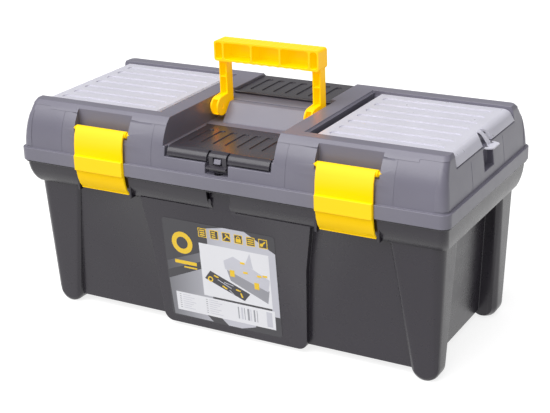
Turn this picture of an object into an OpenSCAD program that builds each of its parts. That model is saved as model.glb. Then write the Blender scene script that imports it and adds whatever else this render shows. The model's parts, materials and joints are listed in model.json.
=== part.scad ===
// Moulded 22 inch class toolbox: tub with corner posts, hinged lid with two clear organisers,
// two small compartments, folding handle, two latches and a lift-out tray.
// Origin: on the floor under the middle of the box. X to the right, -Y to the front, Z up.

/* [Box] */
// Width of the lid's band, end to end
band_w = 560; // [552:2:580]
// Depth of the lid's band, front to back
band_d = 256; // [254:1:262]
// Height of the closing line above the floor
seam_z = 195; // [192:1:200]
// Thickness of the moulded walls
wall = 2.5; // [2.2:0.1:2.8]
// Height of the belly between the tub's walls and the lid's band
belly_h = 30; // [28:1:32]

/* [Base] */
// Height of the tub's bottom above the post ends
floor_z = 10.4; // [8:0.2:12]
// Width of a post at its end
post_w = 34; // [30:1:36]
// Half width of the centre panel at its bottom
panel_half = 98.5; // [90:0.5:100]
// How far the centre panel and the posts stand proud of the tub's walls
proud = 7.7; // [6:0.1:8]

/* [Latches] */
// Width of a latch
latch_w = 68.5; // [64:0.5:70]
// Distance of a latch's middle from the middle of the box
latch_x = 160.8; // [158:0.2:163]

/* [Handle] */
// Width of the handle's grip
grip_w = 140; // [136:1:141]
// Height of the grip's top above the floor
grip_top = 334.5; // [330:0.5:345]
// Height of the grip
grip_h = 24.5; // [22:0.5:28]

/* [Compartments] */
// Distance of an organiser lid's hinge rod from the middle of the box
organizer_x = 106.5; // [105:0.5:108]
// Number of grooves pressed into each compartment lid
grooves = 7; // [5:1:7]
// Height of the compartments' underside above the closing line
well_z = 21; // [20:0.5:23]

/* [Tray] */
// Width of the tray's trough
tray_w = 470; // [440:5:476]
// Depth of the tray's trough, front to back
tray_d = 198; // [180:2:200]
// Height of the tray
tray_h = 46; // [40:1:47]

/* [Hidden] */

$fn = 48;
eps = 0.01;
far = 400;

charcoal = "#4c4a4f";
lid_grey = "#84828a";
latch_yellow = "#ffe000";
handle_yellow = "#ffc414";
smoke = "#2b2726";
clear_plastic = "#d9d8e6";
tray_black = "#2d2d30";
steel = "#b8bbc0";

hw = band_w / 2;
hd = band_d / 2;
top_z = seam_z + 72;
seam_gap = 0.5;

// Tub: half width and half depth at its bottom and at the belly
belly_z = seam_z - belly_h;
tub_low = [hw - 40, hd - 32.7];
tub_high = [hw - 30, hd - 19.7];
belly_low = [hw - 8, hd - 16];
belly_high = [hw - 3.5, hd - 4];
// Turn of the belly's bulge between its lower edge and its top
belly_turn = 60;
// Flat rim round the top of the belly
rim_half = [hw - 1.2, hd - 2.2];
rim_t = 2;

// Rim tongue of the base, which stands inside the lid
tongue_half = [hw - 9, hd - 9.5];
tongue_t = 2;
tongue_top = seam_z + 7;

// Lid hinges at the rear
hinge_y = hd + 1.5;
hinge_z = seam_z + 3;
hinge_x = 170;
knuckle_r = 4.5;
knuckle_half = 11.5;
lug_t = 8;
lug_gap = 0.6;
pin_r = 2;
pin_play = 0.06;

// Latches
latch_pivot = [-(hd - 11), seam_z + 47.5];
latch_barrel_r = 4;
latch_stub_r = 2.2;
latch_bed_y = -(hd - 5.5);
latch_shelf_z = seam_z + 42.2;
recess_back_y = -(hd - 21);
ear_half = 36.5;
recess_half = 38.7;

// Centre recess of the lid and the handle's pivot in it
recess_w = 72.8;
recess_z = seam_z + 42.8;
ridge_half = 55.5;
handle_pivot = [-11.5, seam_z + 61.5];
cam_r = 11.5;
leg_in = 57.7;
leg_out = 68.3;
leg_y = [1, 14];
grip_y = [-6, 16];
handle_pin_r = 3;

// Front compartment
front_half = 67;
front_hinge = [-31.5, seam_z + 42];
front_edge_y = -(hd - 12);
front_flap_z = seam_z + 33;
front_well_half = 62;
catch_half = 4.6;

// Rear compartment
rear_half = 64.5;
rear_hinge = [32.5, top_z - 4.8];
rear_edge_y = hd - 24;
rear_flap_z = top_z - 16;

// Organiser compartments
organizer_y = [-88, 86];
organizer_hinge_z = top_z - 5.8;
organizer_in = 97;
organizer_out = hw - 17.5;
bend_x = hw - 16.5;
lid_plate = [top_z - 5.6, top_z - 3.4];
arch_r = 15;
arch_x = bend_x + 13;
rod_r = 1.8;
rod_play = 0.1;
rod_clear = 0.5;
well_floor = seam_z + well_z;

// Tray
tray_z = belly_z + 3.2 - 18;
tray_t = 2.2;
tray_flange_z = belly_z + 3.2;
tray_flange = [hw - 26, hd - 20];

// Dividers, and the pairs of ribs that hold them
tray_divider_x = 78;
organizer_divider_y = [-30, 28];
rib_side = 1.6;
rib_t = 1.2;
rib_reach = 2;
divider_t = 1.6;

// A rounded rectangle, and the same as a plate
module rounded(half, r) {
    square([2 * half.x - 2 * r, 2 * half.y], center = true);
    square([2 * half.x, 2 * half.y - 2 * r], center = true);
    for (sx = [-1, 1], sy = [-1, 1])
        translate([sx * (half.x - r), sy * (half.y - r)]) circle(r);
}

// A prism along X, from a profile of [y, z] points
module prism_x(profile, x0, x1) {
    translate([x0, 0, 0]) rotate([90, 0, 90]) linear_extrude(x1 - x0) polygon(profile);
}

// A prism along Y, from a profile of [x, z] points
module prism_y(profile, y0, y1) {
    translate([0, y1, 0]) rotate([90, 0, 0]) linear_extrude(y1 - y0) polygon(profile);
}

// A box between two corners
module block(low, high) {
    translate(low) cube(high - low);
}

// A rod along X
module rod_x(y, z, r, x0, x1) {
    translate([x0, y, z]) rotate([0, 90, 0]) cylinder(r = r, h = x1 - x0);
}

// A rod along Y
module rod_y(x, z, r, y0, y1) {
    translate([x, y1, z]) rotate([90, 0, 0]) cylinder(r = r, h = y1 - y0);
}

module both_sides() {
    children();
    mirror([1, 0, 0]) children();
}

// One hull through rounded plates: each level is [z, half width, half depth, corner radius]
module lofted(levels) {
    hull()
        for (l = levels, sx = [-1, 1], sy = [-1, 1])
            translate([sx * (l[1] - l[3]), sy * (l[2] - l[3]), l[0]])
                cylinder(r = l[3], h = eps, $fn = 32);
}

// Closed outline from the right half of a profile
function mirrored(p) = concat(p, [for (i = [len(p) - 1 : -1 : 0]) [-p[i][0], p[i][1]]]);

// Points of an arc in the plane of a profile
function arc(c, r, a0, a1, n) = [for (i = [0 : n]) let (a = a0 + (a1 - a0) * i / n)
    [c[0] + r * cos(a), c[1] + r * sin(a)]];

// The belly's bulge: share of its way out and of its height at angle t from its lower edge
function belly_share(t) =
    [(cos(belly_turn - t) - cos(belly_turn)) / (1 - cos(belly_turn)),
     1 - sin(belly_turn - t) / sin(belly_turn)];

// The belly's front profile, set back by a given amount
function belly_point(t, back) = let (s = belly_share(t))
    [-(belly_low.y - back + (belly_high.y - belly_low.y) * s.x), seam_z - belly_h * (1 - s.y)];

/* ---- Base ---- */

module tub_solid(inset, z0, z1) {
    span_z = belly_z - floor_z;
    lean = [tub_high.x - tub_low.x, tub_high.y - tub_low.y] / span_z;
    low = [for (k = [0, 1]) tub_low[k] - inset + lean[k] * (z0 - floor_z)];
    high = [for (k = [0, 1]) tub_low[k] - inset + lean[k] * (z1 - floor_z)];
    intersection() {
        prism_x(mirrored([[low.y, z0], [high.y, z1]]), -far, far);
        prism_y(mirrored([[low.x, z0], [high.x, z1]]), -far, far);
    }
}

module belly_solid() {
    lofted([for (t = [0 : 12 : belly_turn]) let (s = belly_share(t))
        [seam_z - belly_h * (1 - s.y) - (t == belly_turn ? seam_gap : 0),
         belly_low.x + (belly_high.x - belly_low.x) * s.x,
         belly_low.y + (belly_high.y - belly_low.y) * s.x, 9]]);
}

module belly_cavity() {
    inner = belly_high - [3.2, 3.2];
    lofted([[belly_z + wall, belly_low.x - wall, belly_low.y - wall, 7],
            [seam_z - 12, inner.x, inner.y, 7], [seam_z + 5, inner.x, inner.y, 7]]);
}

// One corner post: a round ended leg that widens towards the belly
module post() {
    r = post_w / 2;
    x = tub_low.x + 4;
    front = -(tub_low.y + proud);
    back = front + 30;
    high_z = belly_z + 1;
    top_front = -(belly_low.y - 0.5);
    hull() {
        for (step = [[5.5, 0], [2.2, 1.1], [0, 4.5]])
            rod_y(x, r - 0.4, r - step[1], front + step[0], back - 4 - step[0], $fn = 32);
        rod_y(x, r - 0.4, r - 4, front + 4, back, $fn = 32);
        for (p = [[tub_high.x + 18 - 13, top_front + 13, 13], [tub_high.x + 18 - 8, back + 1, 8],
                  [hw - 74.4 + 5, top_front + 5, 5], [hw - 74.4 + 8, back + 1, 8]])
            translate([p[0], p[1], high_z]) cylinder(r = p[2], h = eps, $fn = 32);
    }
}

module post_cavity() {
    x0 = tub_low.x - post_w / 2 + 8;
    block([x0, -(tub_low.y + 4), floor_z + 5], [tub_low.x + 17.5, -(tub_low.y - 17), belly_z - 1]);
}

// The raised panel in the middle of the front
module panel_outline(inset) {
    r = 12 - inset;
    low = floor_z - 5 + inset;
    half = panel_half - inset;
    prism_y(mirrored(concat(arc([half - r, low + r], r, -90, 0, 8),
        [[half + 6, seam_z - 84], [half + 15, belly_z + 3]])), -far, 0);
}

module panel_slab(inset, back) {
    lean = (tub_high.y - tub_low.y) / (belly_z - floor_z);
    face = -(tub_low.y + proud - inset);
    intersection() {
        panel_outline(inset);
        prism_x([[face, floor_z], [face - lean * 160, floor_z + 160], [back, floor_z + 160],
                 [back, floor_z - 20], [face, floor_z - 20]], -far, far);
    }
}

module panel_cavity() {
    intersection() {
        panel_slab(wall, -70);
        block([-far, -far, floor_z + wall], [far, 0, belly_z]);
    }
}

// Recess in the belly behind a latch, with the catch that its hook snaps under
module latch_bed_cut() {
    half = latch_w / 2 + 2;
    prism_x(concat([for (t = [0 : 12 : belly_turn]) belly_point(t, 3.6)],
        [[-hd - 9, seam_z + 5], [-hd - 9, belly_z - 5]]), latch_x - half, latch_x + half);
}

module latch_catch() {
    y = latch_bed_y;
    z = belly_z;
    prism_x([[y + 6, z + 11], [y + 1.6, z + 12], [y + 1.6, z + 14], [y + 6, z + 17]],
        latch_x - 26, latch_x + 26);
}

module hinge_lug(x0) {
    rod_x(hinge_y, hinge_z, knuckle_r, x0, x0 + lug_t);
    prism_x([[hd - 8, seam_z - 22], [hinge_y + 1, seam_z - 10], [hinge_y + knuckle_r - 0.4, hinge_z - 1.5],
             [hinge_y, hinge_z], [hd - 6, seam_z - seam_gap]], x0, x0 + lug_t);
}

module base() {
    channel_half = 15.5;
    channel_rib = 3.4;
    panel_face = -(tub_high.y + proud);
    color(charcoal) difference() {
        union() {
            difference() {
                union() {
                    tub_solid(0, floor_z, belly_z + 3);
                    belly_solid();
                    both_sides() {
                        post();
                        mirror([0, 1, 0]) post();
                    }
                    panel_slab(0, -80);
                }
                tub_solid(wall, floor_z + wall, belly_z + wall + 1);
                belly_cavity();
                panel_cavity();
                both_sides() {
                    post_cavity();
                    mirror([0, 1, 0]) post_cavity();
                }
            }
            // Rim tongue
            translate([0, 0, seam_z - 6]) linear_extrude(tongue_top - seam_z + 6) difference() {
                rounded(tongue_half, 10);
                rounded(tongue_half - [tongue_t, tongue_t], 8);
            }
            // Shelf that joins the tongue to the belly's top
            translate([0, 0, seam_z - 6]) linear_extrude(6 - seam_gap) difference() {
                rounded(belly_high - [1, 1], 11);
                rounded(tongue_half - [tongue_t, tongue_t], 8);
            }
            // Rim that the lid's band closes down on
            translate([0, 0, seam_z - seam_gap - rim_t]) linear_extrude(rim_t) difference() {
                rounded(rim_half, 10);
                rounded(tongue_half, 10);
            }
            // Backs of the finger channel and of the latch beds
            block([-channel_half - wall, panel_face, belly_z + 1],
                  [channel_half + wall, panel_face + wall, seam_z - 4]);
            both_sides()
                block([latch_x - 39, -(belly_high.y - 2), belly_z + 0.5],
                      [latch_x + 39, -(belly_low.y - 2.8), seam_z - seam_gap]);
            both_sides() {
                hinge_lug(hinge_x - knuckle_half - lug_gap - lug_t);
                hinge_lug(hinge_x + knuckle_half + lug_gap);
            }
        }
        // Finger channel under the lid's notch, with a low rib down each side
        block([-channel_half, -far, belly_z], [channel_half, panel_face - 4, seam_z - 3]);
        block([channel_rib - channel_half, -far, belly_z],
              [channel_half - channel_rib, panel_face, seam_z - 3]);
        both_sides() {
            difference() {
                latch_bed_cut();
                latch_catch();
            }
            rod_x(hinge_y, hinge_z, pin_r + pin_play, hinge_x - 30, hinge_x + 30);
        }
        block([-far, -far, -50], [far, far, 0]);
    }
}

/* ---- Lid ---- */

// Half sizes of the lid's crown above its band: [height, half width, half depth, corner radius]
crown = [
    [seam_z + 16, hw - 3, hd - 3, 9], [seam_z + 27, hw - 3.6, hd - 3.7, 9],
    [seam_z + 37, hw - 4.6, hd - 5.2, 9], [seam_z + 46, hw - 5.7, hd - 7.4, 9],
    [seam_z + 55, hw - 7, hd - 11.2, 9], [top_z - 10, hw - 8, hd - 15.4, 8.5],
    [top_z - 5, hw - 9, hd - 19.4, 8], [top_z, hw - 11.4, hd - 25.4, 7]];

module crown_solid(inset = 0) {
    lofted([for (l = crown) [l[0], l[1] - inset, l[2] - inset, l[3]]]);
}

// Shallow steps in the crown's skin: a groove above the band, and sunk fields between the corners
module crown_lines() {
    low = seam_z + 17;
    high = top_z - 8;
    difference() {
        union() {
            block([-far, -far, low - 1], [far, far, low + 1.2]);
            block([17 - hw, -far, low], [hw - 17, -90, high]);
            block([hw - 40, -113, low], [far, 113, high + 3]);
            block([-far, -113, low], [40 - hw, 113, high + 3]);
        }
        crown_solid(0.5);
    }
    difference() {
        union() {
            for (x = [-217, -88, 88, 217])
                block([x - 0.5, -far, low], [x + 0.5, -90, high]);
            for (y = [-50, 46])
                block([-far, y - 0.5, low], [far, y + 0.5, high - 14]);
        }
        crown_solid(0.8);
    }
}

module crown_cavity() {
    low = [seam_z - 5, hw - 3 - wall, hd - 3 - wall, 10];
    lofted(concat([low], [for (l = crown)
        [l[0] - (l[0] > top_z - 12 ? wall : 0), l[1] - wall, l[2] - wall, l[3] - 2]]));
}

// Solid core for one recess: keeps only what lies inside the crown
module inside_crown() {
    intersection() {
        crown_solid();
        children();
    }
}

module lid_shell() {
    difference() {
        union() {
            crown_solid();
            translate([0, 0, seam_z]) linear_extrude(17) rounded([hw, hd], 11);
        }
        crown_cavity();
        translate([0, 0, seam_z - 1]) linear_extrude(15.5)
            rounded([hw - wall, hd - wall], 9);
    }
}

// Material around the recesses, inside the crown
module lid_cores() {
    t = wall;
    union() {
        block([-recess_w - t, -hd, recess_z - 2 * t], [recess_w + t, rear_hinge[0] + 2, top_z]);
        block([-front_half - 5.5, -hd, front_flap_z - 2 - t],
              [front_half + 5.5, front_edge_y + 8, recess_z]);
        block([-17.5, -hd, seam_z + 16], [17.5, front_edge_y + 8, front_flap_z]);
        block([-rear_half - 3.5, rear_hinge[0] - 2, rear_flap_z - 7], [rear_half + 3.5, hd, top_z]);
        both_sides() {
            block([latch_x - recess_half - t, -hd, latch_shelf_z - t],
                  [latch_x + recess_half + t, recess_back_y + t, top_z]);
            block([organizer_in - t, organizer_y[0] - 3.5, seam_z + 52],
                  [hw, organizer_y[1] + 3.5, top_z]);
            block([organizer_out, -16.5, seam_z + 24.5], [hw, 16.5, seam_z + 55]);
        }
    }
}

// The hanging boxes of the compartments
module lid_wells() {
    block([-front_well_half - 2, front_edge_y + 1.5, well_floor - 2],
          [front_well_half + 2, front_hinge[0] - 2, recess_z]);
    block([-rear_half + 0.5, rear_hinge[0] + 1.5, well_floor - 2],
          [rear_half - 0.5, rear_edge_y - 1.5, top_z - 3]);
    both_sides()
        block([organizer_in - 2, organizer_y[0], well_floor - 2],
              [organizer_out + 2, organizer_y[1], top_z - 4]);
}

module well_cavities() {
    block([-front_well_half, front_edge_y + 3.5, well_floor],
          [front_well_half, front_hinge[0] - 4, recess_z + 1]);
    block([-rear_half + 2.5, rear_hinge[0] + 3.5, well_floor],
          [rear_half - 2.5, rear_edge_y - 3.5, top_z + 1]);
    both_sides()
        block([organizer_in, organizer_y[0] + 2, well_floor],
              [organizer_out, organizer_y[1] - 2, top_z + 1]);
}

// Ribs that hold the organisers' dividers
module organizer_ribs() {
    both_sides()
        for (y = organizer_divider_y, s = [-1, 1], x = [organizer_in - eps, organizer_out - rib_reach])
            block([x, y + s * rib_side - rib_t / 2, well_floor - eps],
                  [x + rib_reach + eps, y + s * rib_side + rib_t / 2, well_floor + 36]);
}

module handle_ridge() {
    z = recess_z;
    prism_x([[-17, z - 1], [-17, z + 0.5], [-0.4, z + 19.8], [1.2, z + 21.4], [7, z + 21.8],
             [7, z + 20.2], [9.5, z + 20.2], [9.5, z + 22.4], [16.5, z + 22.4], [16.5, z - 1]],
        -ridge_half, ridge_half);
}

module ridge_cavity() {
    z = recess_z;
    prism_x([[-12.5, z - 15], [-12.5, z + 0.5], [2.2, z + 18], [13.5, z + 19.5], [13.5, z - 15]],
        -ridge_half + wall, ridge_half - wall);
    block([-recess_w, 18.5, z - 15], [recess_w, rear_hinge[0] - 1, z + 19]);
}

// Cuts that open the centre recess, the lid seats and the catches
module centre_cuts() {
    t = wall;
    difference() {
        block([-recess_w, -far, recess_z], [recess_w, 16, far]);
        handle_ridge();
    }
    block([-recess_w, 15.9, seam_z + 64.9], [recess_w, rear_hinge[0] - 1, far]);
    // Front compartment: seat of the lid, then the cut that its flap hangs in
    block([-front_half - 0.6, front_edge_y - 1, front_hinge[1] - 1.6],
          [front_half + 0.6, front_hinge[0] + rod_r + 0.5, recess_z + 1]);
    block([-front_half - 3, -far, front_flap_z - 2], [front_half + 3, front_edge_y + 1.5, far]);
    block([-15, -far, seam_z + 18.5], [15, front_edge_y + 1.5, front_flap_z]);
    translate([0, front_edge_y - 2.5, seam_z + 15]) cylinder(r = 5.5, h = 5);
    rod_x(front_hinge[0], front_hinge[1], rod_r + rod_clear, -front_half - 0.6, front_half + 0.6);
    // Rear compartment
    block([-rear_half - 0.8, rear_hinge[0] - rod_r - 0.5, rear_hinge[1] - 1],
          [rear_half + 0.8, rear_edge_y + 4, far]);
    block([-rear_half - 0.8, rear_edge_y, rear_flap_z - 4], [rear_half + 0.8, far, far]);
    rod_x(rear_hinge[0], rear_hinge[1], rod_r + rod_clear, -rear_half - 0.8, rear_half + 0.8);
}

module side_cuts() {
    // Organiser seat, the slope under its flap, and the slot below its tongue
    block([organizer_in, organizer_y[0] - 0.6, lid_plate[0] - 0.8],
          [bend_x, organizer_y[1] + 0.6, far]);
    // Two small ledges down the seat's wall on the hinge side
    for (k = [1, 2])
        block([organizer_in - 1.2 * k, organizer_y[0] - 0.6, top_z - 3.2 + 0.8 * k],
              [organizer_in + 1, organizer_y[1] + 0.6, far]);
    prism_y([[bend_x - 4, lid_plate[0] - 0.8], [bend_x - 1, lid_plate[0] - 0.8],
             [hw - 9.4, seam_z + 54.4], [hw + 9, seam_z + 54.4], [hw + 9, far], [bend_x - 4, far]],
        organizer_y[0] - 0.6, organizer_y[1] + 0.6);
    block([bend_x + 1.5, -arch_r - 2, seam_z + 54.4], [hw, arch_r + 2, top_z]);
    block([hw - 13, -14, seam_z + 27], [far, 14, seam_z + 51]);
    // Latch recess: wide above the shelf, narrow beside the latch's body
    block([latch_x - recess_half, -far, latch_shelf_z], [latch_x + recess_half, recess_back_y, far]);
    block([latch_x - latch_w / 2 - 0.9, -far, seam_z - 5],
          [latch_x + latch_w / 2 + 0.9, latch_bed_y, latch_shelf_z + 1]);
}

module latch_bed_wall() {
    half = latch_w / 2 + 0.9;
    block([latch_x - half - wall, latch_bed_y - 1, seam_z],
          [latch_x + half + wall, latch_bed_y + wall, latch_shelf_z]);
    for (s = [-1, 1])
        translate([latch_x + s * (half + wall / 2) - wall / 2, -(hd - 0.8), seam_z])
            cube([wall, 8, latch_shelf_z - seam_z - 22]);
}

module lid_knuckle() {
    rod_x(hinge_y, hinge_z, knuckle_r, hinge_x - knuckle_half, hinge_x + knuckle_half);
    prism_x([[hinge_y, hinge_z], [hinge_y + knuckle_r - 0.3, hinge_z + 1.5], [hd - 1, seam_z + 16],
             [hd - 4, seam_z + 16], [hd - 2.4, hinge_z]],
        hinge_x - knuckle_half, hinge_x + knuckle_half);
}

module lid_bores() {
    play = rod_play;
    both_sides() {
        rod_x(handle_pivot[0], handle_pivot[1], handle_pin_r + play, recess_w - 1, recess_w + 6);
        rod_x(latch_pivot[0], latch_pivot[1], latch_stub_r + play,
              latch_x - recess_half - 2, latch_x + recess_half + 2);
        rod_x(front_hinge[0], front_hinge[1], rod_r + play, front_half - 1, front_half + 2.6);
        rod_x(rear_hinge[0], rear_hinge[1], rod_r - 0.2 + play, rear_half - 1, rear_half + 2.6);
        rod_y(organizer_x, organizer_hinge_z, rod_r + play, organizer_y[0] - 2.4, organizer_y[1] + 2.4);
        rod_x(hinge_y, hinge_z, pin_r + pin_play / 2, hinge_x - 30, hinge_x + 30);
    }
}

module lid() {
    lug_in = hinge_x - knuckle_half - lug_gap;
    lug_out = hinge_x + knuckle_half + lug_gap;
    color(lid_grey) difference() {
        union() {
            difference() {
                union() {
                    lid_shell();
                    inside_crown() lid_cores();
                    lid_wells();
                    both_sides() latch_bed_wall();
                }
                centre_cuts();
                both_sides() side_cuts();
                well_cavities();
                ridge_cavity();
                crown_lines();
            }
            organizer_ribs();
            // Catch that stands in the window of the front lid's tab
            prism_x([[front_edge_y + 2, front_flap_z - 2.2], [front_edge_y - 6.5, front_flap_z - 2.2],
                     [front_edge_y - 3.8, front_flap_z + 3.4], [front_edge_y + 2, front_flap_z + 3.4]],
                -catch_half, catch_half);
            both_sides() {
                rod_x(handle_pivot[0], handle_pivot[1], 7, recess_w + 0.5, recess_w + 8);
                lid_knuckle();
            }
        }
        lid_bores();
        both_sides()
            for (x0 = [lug_in - lug_t, lug_out])
                rod_x(hinge_y, hinge_z, knuckle_r + 0.8, x0 - lug_gap, x0 + lug_t + lug_gap);
    }
}

/* ---- Label ---- */

module label() {
    lean = atan((tub_high.y - tub_low.y) / (belly_z - floor_z));
    color("#c9c9cf")
        translate([-panel_half + 13, -(tub_low.y + proud), floor_z]) rotate([lean, 0, 0])
            translate([0, -0.3, 5]) cube([152, 0.3, 132]);
}

/* ---- Handle ---- */

module grip_pocket(x0, x1, z0, z1) {
    translate([(x0 + x1) / 2, grip_y[1] - 3, (z0 + z1) / 2]) rotate([90, 0, 0])
        linear_extrude(40) rounded([(x1 - x0) / 2, (z1 - z0) / 2], 3);
}

module handle_leg() {
    y = handle_pivot[0];
    z = handle_pivot[1];
    grip_low = grip_top - grip_h;
    difference() {
        union() {
            rod_x(y, z, cam_r, leg_in, leg_out);
            rod_x(y, z, 6, leg_out - 1, recess_w - 0.5);
            prism_x([[y, z - cam_r], [6, z - cam_r + 2], [leg_y[1], z - 3], [leg_y[1], grip_low + 4],
                     [leg_y[0], grip_low + 4], [leg_y[0], z + cam_r + 1], [y, z + cam_r]], leg_in, leg_out);
        }
        block([leg_in + 2.2, -far, z - cam_r + 3], [leg_out - 2.2, leg_y[1] - 3.5, z + cam_r - 2.5]);
        for (zz = [[z + cam_r, z + 31.5], [z + 33.3, grip_low - 4]])
            block([leg_in + 2.2, -far, zz[0]], [leg_out - 1.6, leg_y[1] - 2.5, zz[1]]);
        rod_x(y, z, handle_pin_r + 0.05, leg_in - 1, recess_w + 1);
    }
}

module handle() {
    grip_low = grip_top - grip_h;
    web_t = 2.6;
    span = grip_w - 24.8;
    bay = span / 3;
    color(handle_yellow) difference() {
        union() {
            difference() {
                translate([0, grip_y[1], grip_top - grip_h / 2]) rotate([90, 0, 0])
                    linear_extrude(grip_y[1] - grip_y[0]) rounded([grip_w / 2, grip_h / 2], 3.5);
                // Finger scallops under the grip and shallow grooves across its top
                for (i = [-4 : 4])
                    rod_y(i * 11, grip_low - 20.5, 21, grip_y[0] - 1, grip_y[1] + 1);
                for (i = [-8 : 8])
                    rod_y(i * 7.6, grip_top + 2.75, 3, grip_y[0] - 1, grip_y[1] + 1);
            }
            both_sides() handle_leg();
        }
        for (i = [0 : 2])
            grip_pocket(-span / 2 + i * bay + web_t / 2, -span / 2 + (i + 1) * bay - web_t / 2,
                        grip_low + web_t, grip_top - 2.2);
        both_sides()
            grip_pocket(span / 2 + 1.5, grip_w / 2 - 2.2, grip_low + web_t, grip_top - 2.2);
    }
}

module handle_pin() {
    color(steel) rod_x(handle_pivot[0], handle_pivot[1], handle_pin_r, leg_in + 0.4, recess_w + 5.5);
}

/* ---- Latches ---- */

module latch() {
    y = latch_pivot[0];
    z = latch_pivot[1];
    half = latch_w / 2;
    outer = [[y - 1.5, z + 3.8], [y - 4, z + 2.8], [y - 6.6, z - 0.5], [y - 9, z - 6.5], [y - 11, z - 16.5],
             [y - 11.8, z - 29.6], [y - 14.3, z - 30.5], [y - 14.3, z - 48.2], [y - 11.8, z - 49.2],
             [y - 10, z - 59], [y - 7, z - 67], [y - 3, z - 72.2], [y - 3.4, z - 73.6]];
    inner = [[y - 1.4, z - 73.6], [y - 0.6, z - 72.2], [y - 3.8, z - 68.2], [y - 4.6, z - 67.6],
             [y - 7.4, z - 59], [y - 9.2, z - 48], [y - 9.2, z - 29], [y - 8.4, z - 16.5],
             [y - 7.2, z - 8.5], [y - 6.3, z - 4.9], [y - 3.9, z - 1.2], [y, z]];
    hook = [[y - 5.6, z - 69.6], [y - 2.4, z - 69.4], [y - 2.2, z - 67.6], [y - 5, z - 66.9]];
    color(latch_yellow) translate([latch_x, 0, 0]) {
        prism_x(concat(outer, inner), -half, half);
        prism_x(hook, -24, 24);
        rod_x(y, z, latch_barrel_r, -ear_half, ear_half);
        rod_x(y, z, latch_stub_r, -recess_half - 1.5, recess_half + 1.5);
    }
}

/* ---- Compartment lids ---- */

// A groove pressed into a lid, along Y, with round ends
module groove(x, y0, y1, width, z) {
    r = width / 2;
    translate([x - r, y0 + r, z]) cube([width, y1 - y0 - width, 5]);
    for (y = [y0 + r, y1 - r])
        translate([x, y, z]) cylinder(r = r, h = 5);
}

module front_compartment_lid() {
    y = front_hinge[0];
    z = front_hinge[1];
    edge = front_edge_y + 4;
    low = front_flap_z;
    pitch = 16;
    bend = [edge, z + 1.5 - 10];
    color(smoke) difference() {
        union() {
            block([-front_half, edge, z - 0.7], [front_half, y, z + 1.5]);
            rod_x(y, z, rod_r, -front_half - 2.1, front_half + 2.1);
            difference() {
                prism_x(concat(arc(bend, 10, 90, 180, 10), [[edge - 10, low], [edge - 7.8, low]],
                    arc(bend, 7.8, 180, 90, 10)), -front_half, front_half);
                block([-14, -far, 0], [14, edge - 1, far]);
            }
            // Tab with its finger lip
            prism_x([[edge + 1, z - 0.7], [edge + 1, z + 1.5], [edge - 6, z - 0.4], [edge - 8.6, z - 3],
                     [edge - 8.6, low - 11], [edge - 6.4, low - 11], [edge - 6.4, z - 3],
                     [edge - 2.7, z - 0.7]], -11.5, 11.5);
            prism_x([[edge - 7, low - 4.2], [edge - 10.5, low - 4.6], [edge - 14, low - 6.4],
                     [edge - 13.6, low - 8], [edge - 10.2, low - 6.8], [edge - 7, low - 6.6]], -13, 13);
        }
        block([-6, -far, low - 4], [6, edge - 4, low + 5]);
        for (i = [0 : grooves - 1])
            groove((i - (grooves - 1) / 2) * pitch - 3.5, edge + 18, y - 15.5, 8, z + 0.5);
    }
}

module rear_compartment_lid() {
    y = rear_hinge[0];
    z = rear_hinge[1];
    edge = rear_edge_y - 2;
    low = rear_flap_z;
    pitch = 16;
    color(smoke) difference() {
        union() {
            block([-rear_half, y, z - 0.6], [rear_half, edge, z + 1.6]);
            rod_x(y, z, rod_r - 0.2, -rear_half - 2.1, rear_half + 2.1);
            prism_x(concat([[edge - 1, z - 0.6], [edge - 1, z + 1.6]], arc([edge, z - 10.4], 12, 90, 0, 10),
                [[edge + 12, low]], [[edge + 9.8, low]], arc([edge, z - 10.4], 9.8, 0, 90, 10)),
                -rear_half, rear_half);
            block([-13, edge + 9, low - 1], [13, edge + 15.5, low + 1.4]);
        }
        for (i = [0 : grooves - 1])
            groove((i - (grooves - 1) / 2) * pitch, y + 9.5, edge - 11, 8, z + 0.6);
    }
}

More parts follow.
